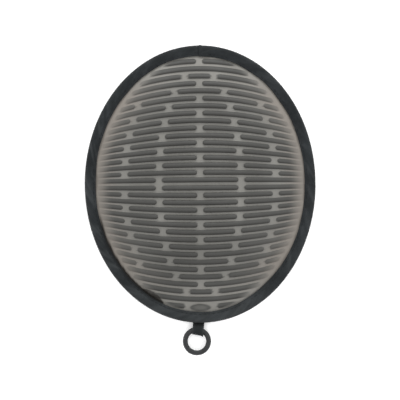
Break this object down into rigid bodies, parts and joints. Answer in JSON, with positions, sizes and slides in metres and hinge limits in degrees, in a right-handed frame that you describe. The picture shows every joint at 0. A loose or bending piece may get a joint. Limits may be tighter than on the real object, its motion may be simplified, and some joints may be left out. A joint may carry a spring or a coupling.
{
  "type": "oven mitt",
  "caption": "Oval pocket mitt with a domed ribbed silicone face, padded hand pocket on the back, taped edge and a hanging ring on a webbing loop.",
  "frame": {"origin": "centre of the oval, on the flat back face that the mitt rests on", "axes": "+Z out of the ribbed face, +Y along the oval to the finger end, the ring hangs off the -Y end, +X to the right"},
  "size_m": [0.2108, 0.2847, 0.0344],
  "materials": {
    "silicone": "satin moulded silicone",
    "batting": "needled heat-insulating filling",
    "lining_fabric": "plain-weave cotton",
    "pocket_fabric": "quilted cotton twill",
    "binding_tape": "bias-cut twill tape",
    "thread": "twisted polyester thread",
    "webbing": "woven tape",
    "ring_plastic": "moulded, semi-matt"
  },
  "bodies": {
    "mitt": {"silicone_pad": "silicone", "insulation_batting": "batting", "lining_panel": "lining_fabric", "pocket_outer": "pocket_fabric", "pocket_batting": "batting", "pocket_lining": "lining_fabric", "pocket_mouth_binding": "binding_tape", "pocket_mouth_thread": "thread", "edge_binding": "binding_tape", "binding_thread": "thread", "hang_tab_sewn_end": "webbing", "tab_thread": "thread"},
    "loop": {"hang_tab": "webbing"},
    "ring": {"hanging_ring": "ring_plastic"}
  },
  "joints": [
    {"name": "loop_flex", "type": "hinge", "parent": "mitt", "child": "loop", "pos_m": [-0.00131, -0.12815, 0.00115], "axis": [-0.9954, 0.0958, 0], "range_deg": [-45, 30]},
    {"name": "ring_swing", "type": "hinge", "parent": "loop", "child": "ring", "pos_m": [-0.00197, -0.13496, 0.0043], "axis": [-0.9954, 0.0958, 0], "range_deg": [-100, 100]}
  ]
}
